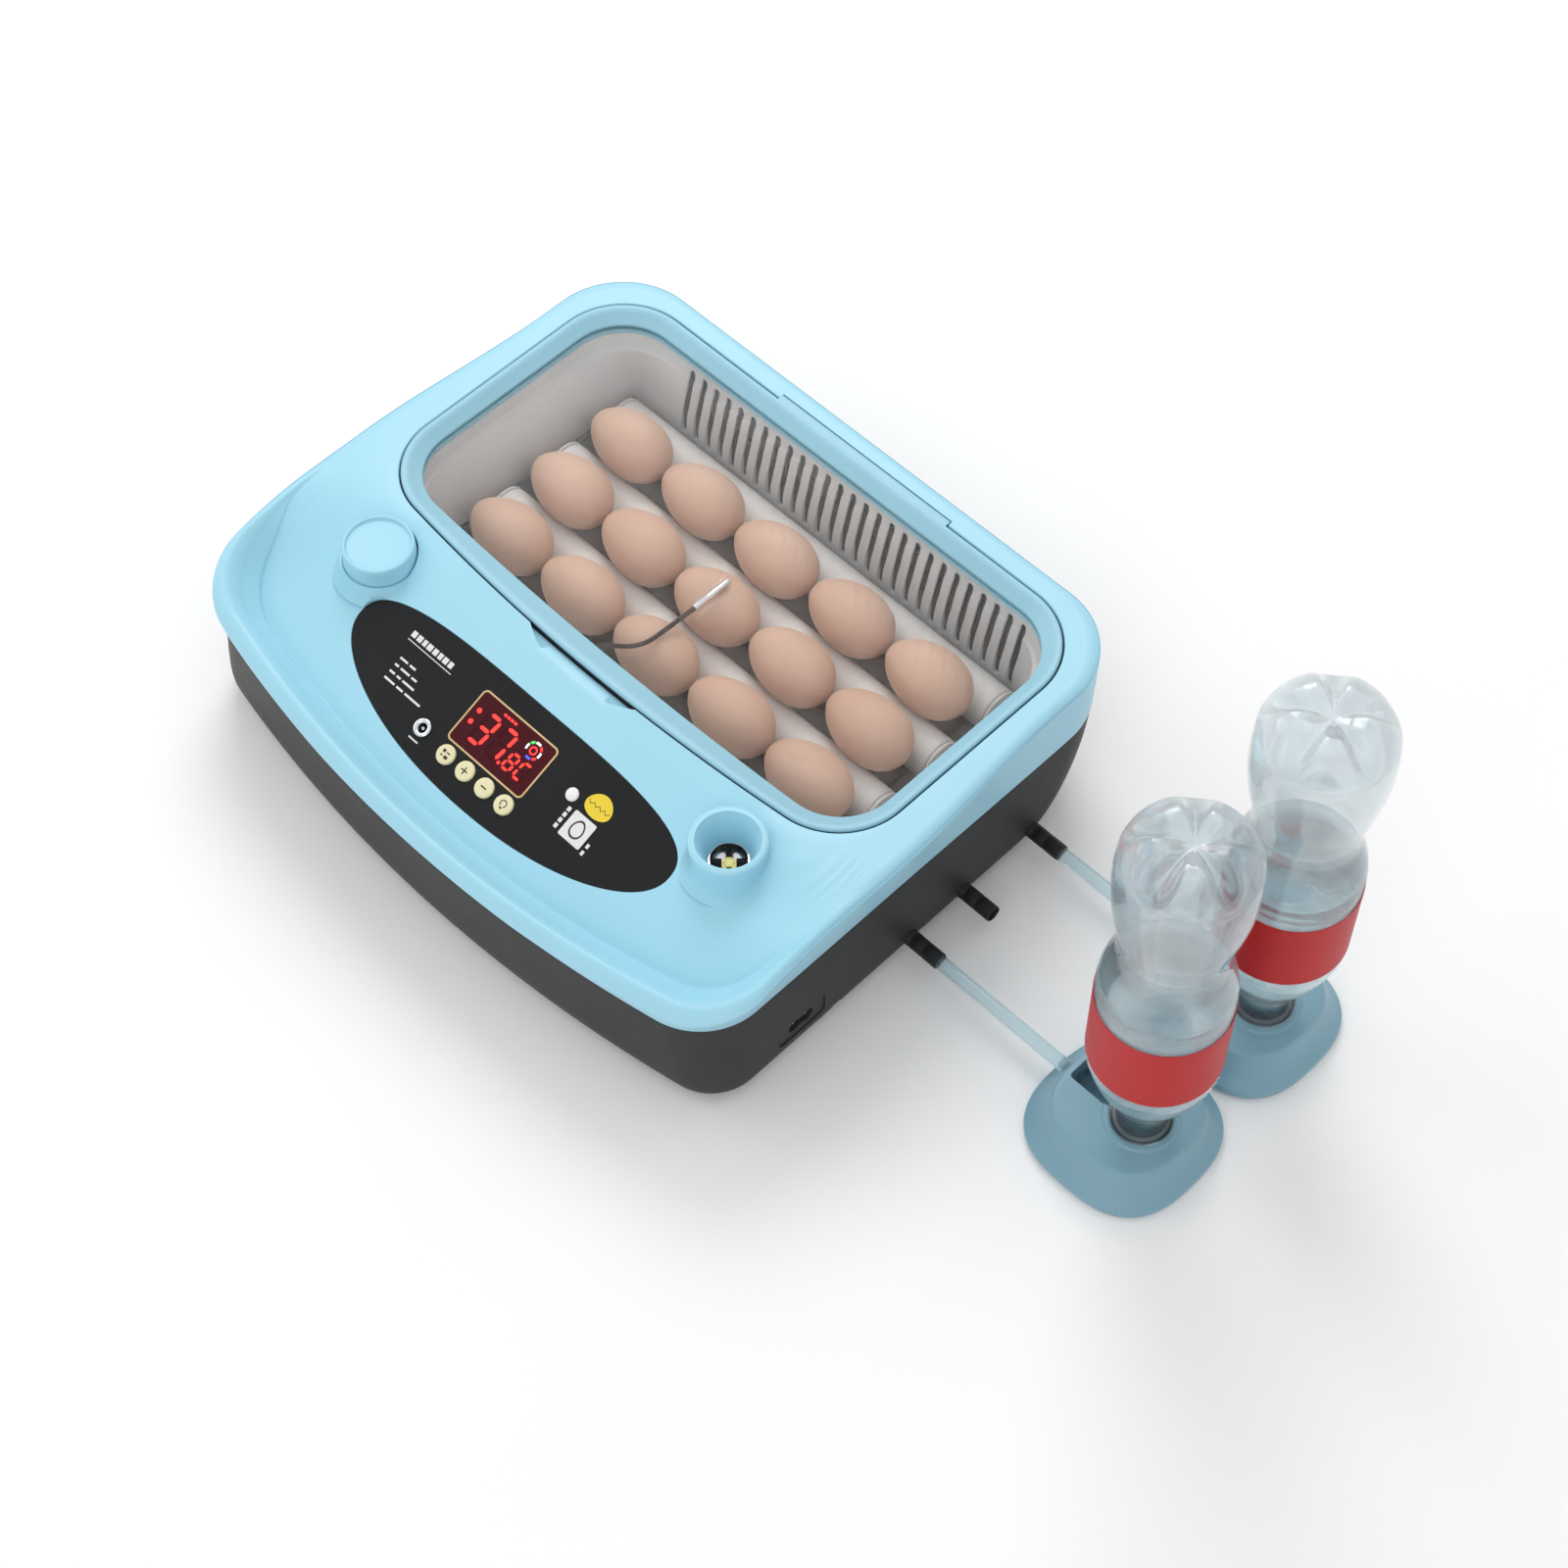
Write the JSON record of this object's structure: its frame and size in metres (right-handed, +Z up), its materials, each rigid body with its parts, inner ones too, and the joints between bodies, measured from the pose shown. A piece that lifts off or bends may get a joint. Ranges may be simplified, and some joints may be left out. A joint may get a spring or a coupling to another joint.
{
  "type": "egg incubator",
  "caption": "Tabletop egg incubator with a clear hinged lid, motor-driven egg rollers, sloped control panel and inverted bottle water feeders on hoses.",
  "frame": {"origin": "middle of the support pad under the case, on the table surface", "axes": "+X to the user's right, towards the water feeders; +Y to the back, away from the control panel; +Z up"},
  "size_m": [0.6026, 0.3415, 0.2856],
  "materials": {
    "case_base": "dark grey moulded plastic with a fine grain",
    "case_top": "pale blue satin plastic",
    "lid_rim": "mid blue satin plastic",
    "liner": "warm light grey plastic",
    "dark_plastic": "charcoal plastic",
    "fan_plastic": "black plastic",
    "steel_parts": "plain bright steel",
    "circuit_board": "green solder mask",
    "panel_foil": "black printed foil",
    "cream_plastic": "cream glossy plastic",
    "gear_plastic": "natural white nylon",
    "display_glass": "dark red tinted window",
    "lit_segments": "red light-emitting segments",
    "lamp_white": "milky white lens",
    "led": "yellow phosphor",
    "black_rubber": "black rubber",
    "clear_hose": "clear soft hose with a faint blue tint",
    "stand_plastic": "grey blue moulded plastic",
    "roller_plastic": "white plastic roller",
    "eggshell": "light brown hen's eggshell, a little mottled",
    "window": "clear acrylic",
    "bottle_plastic": "clear thin-walled drinks bottle",
    "cap_plastic": "dark smoky plastic",
    "label_film": "red printed film"
  },
  "bodies": {
    "case": {"base_shell": "case_base", "top_shell": "case_top", "chamber_liner": "liner", "water_tray": "dark_plastic", "roller_frame": "dark_plastic", "turner_motor": "steel_parts", "heater": "steel_parts", "fan_housing": "dark_plastic", "control_board": "circuit_board", "panel_overlay": "panel_foil", "display_bezel": "cream_plastic", "display_lens": "display_glass", "display_digits": "lit_segments", "dc_jack": "steel_parts", "indicator_lamp": "lamp_white", "candler_reflector": "dark_plastic", "candler_led": "led", "power_inlet": "dark_plastic", "inlet_pins": "steel_parts", "port_sleeves": "black_rubber", "hose_front": "clear_hose", "hose_rear": "clear_hose", "stand_front": "stand_plastic", "stand_rear": "stand_plastic", "rubber_feet": "black_rubber", "case_screws": "steel_parts", "probe_wire": "black_rubber", "probe_tip": "steel_parts", "hinge_pin": "steel_parts"},
    "roller_body_1": {"roller_1": "roller_plastic", "axle_1": "steel_parts"},
    "roller_body_2": {"roller_2": "roller_plastic", "axle_2": "steel_parts"},
    "roller_body_3": {"roller_3": "roller_plastic", "axle_3": "steel_parts"},
    "roller_body_4": {"roller_4": "roller_plastic", "axle_4": "steel_parts"},
    "idler_body_1": {"idler_1": "gear_plastic"},
    "idler_body_2": {"idler_2": "gear_plastic"},
    "idler_body_3": {"idler_3": "gear_plastic"},
    "pinion_body": {"pinion": "gear_plastic"},
    "egg_row_front": {"eggs_front": "eggshell"},
    "egg_row_middle": {"eggs_middle": "eggshell"},
    "egg_row_back": {"eggs_back": "eggshell"},
    "lid": {"lid_frame": "lid_rim", "lid_window": "window", "lid_gasket": "black_rubber"},
    "vent_plug": {"vent_cap": "case_top"},
    "push_button_1": {"button_1": "cream_plastic"},
    "push_button_2": {"button_2": "cream_plastic"},
    "push_button_3": {"button_3": "cream_plastic"},
    "push_button_4": {"button_4": "cream_plastic"},
    "fan": {"fan_rotor": "fan_plastic"},
    "bottle_set_front": {"bottle_front": "bottle_plastic", "cap_front": "cap_plastic", "label_front": "label_film"},
    "bottle_set_rear": {"bottle_rear": "bottle_plastic", "cap_rear": "cap_plastic", "label_rear": "label_film"}
  },
  "joints": [
    {"name": "roller_1_turn", "type": "hinge", "parent": "case", "child": "roller_body_1", "pos_m": [0, -0.019, 0.0425], "axis": [1, 0, 0], "continuous": true},
    {"name": "roller_2_turn", "type": "hinge", "parent": "case", "child": "roller_body_2", "pos_m": [0, 0.027, 0.0425], "axis": [1, 0, 0], "continuous": true},
    {"name": "roller_3_turn", "type": "hinge", "parent": "case", "child": "roller_body_3", "pos_m": [0, 0.073, 0.0425], "axis": [1, 0, 0], "continuous": true},
    {"name": "roller_4_turn", "type": "hinge", "parent": "case", "child": "roller_body_4", "pos_m": [0, 0.119, 0.0425], "axis": [1, 0, 0], "continuous": true},
    {"name": "idler_1_turn", "type": "hinge", "parent": "case", "child": "idler_body_1", "pos_m": [-0.161, 0.004, 0.0425], "axis": [1, 0, 0], "continuous": true},
    {"name": "idler_2_turn", "type": "hinge", "parent": "case", "child": "idler_body_2", "pos_m": [-0.161, 0.05, 0.0425], "axis": [1, 0, 0], "continuous": true},
    {"name": "idler_3_turn", "type": "hinge", "parent": "case", "child": "idler_body_3", "pos_m": [-0.161, 0.096, 0.0425], "axis": [1, 0, 0], "continuous": true},
    {"name": "pinion_turn", "type": "hinge", "parent": "case", "child": "pinion_body", "pos_m": [-0.161, 0.073, 0.0215], "axis": [1, 0, 0], "continuous": true},
    {"name": "eggs_front_turn", "type": "hinge", "parent": "case", "child": "egg_row_front", "pos_m": [0, 0.004, 0.066], "axis": [1, 0, 0], "continuous": true},
    {"name": "eggs_middle_turn", "type": "hinge", "parent": "case", "child": "egg_row_middle", "pos_m": [0, 0.05, 0.066], "axis": [1, 0, 0], "continuous": true},
    {"name": "eggs_back_turn", "type": "hinge", "parent": "case", "child": "egg_row_back", "pos_m": [0, 0.096, 0.066], "axis": [1, 0, 0], "continuous": true},
    {"name": "lid_open", "type": "hinge", "parent": "case", "child": "lid", "pos_m": [0.008, 0.1572, 0.1037], "axis": [-1, 0, 0], "range_deg": [0, 100]},
    {"name": "vent_lift", "type": "slide", "parent": "case", "child": "vent_plug", "axis": [0, 0, 1], "range_m": [0, 0.02]},
    {"name": "button_1_press", "type": "slide", "parent": "case", "child": "push_button_1", "axis": [0, 0.4027, -0.9153], "range_m": [0, 0.0008], "stiffness_N_per_m": 400, "springref_m": -0.0006},
    {"name": "button_2_press", "type": "slide", "parent": "case", "child": "push_button_2", "axis": [0, 0.4027, -0.9153], "range_m": [0, 0.0008], "stiffness_N_per_m": 400, "springref_m": -0.0006},
    {"name": "button_3_press", "type": "slide", "parent": "case", "child": "push_button_3", "axis": [0, 0.4027, -0.9153], "range_m": [0, 0.0008], "stiffness_N_per_m": 400, "springref_m": -0.0006},
    {"name": "button_4_press", "type": "slide", "parent": "case", "child": "push_button_4", "axis": [0, 0.4027, -0.9153], "range_m": [0, 0.0008], "stiffness_N_per_m": 400, "springref_m": -0.0006},
    {"name": "fan_turn", "type": "hinge", "parent": "case", "child": "fan", "pos_m": [0.04, 0.1515, 0.0695], "axis": [0, 1, 0], "continuous": true},
    {"name": "bottle_front_lift", "type": "slide", "parent": "case", "child": "bottle_set_front", "axis": [0, 0, 1], "range_m": [0, 0.12]},
    {"name": "bottle_rear_lift", "type": "slide", "parent": "case", "child": "bottle_set_rear", "axis": [0, 0, 1], "range_m": [0, 0.12]}
  ],
  "couplings": [
    {"joint": "roller_2_turn", "follows": "roller_1_turn", "ratio": 1},
    {"joint": "roller_3_turn", "follows": "roller_1_turn", "ratio": 1},
    {"joint": "roller_4_turn", "follows": "roller_1_turn", "ratio": 1},
    {"joint": "idler_1_turn", "follows": "roller_1_turn", "ratio": -1.875},
    {"joint": "idler_2_turn", "follows": "roller_1_turn", "ratio": -1.875},
    {"joint": "idler_3_turn", "follows": "roller_1_turn", "ratio": -1.875},
    {"joint": "pinion_turn", "follows": "roller_1_turn", "ratio": -2.5},
    {"joint": "eggs_front_turn", "follows": "roller_1_turn", "ratio": -0.7068},
    {"joint": "eggs_middle_turn", "follows": "roller_1_turn", "ratio": -0.7068},
    {"joint": "eggs_back_turn", "follows": "roller_1_turn", "ratio": -0.7068}
  ]
}
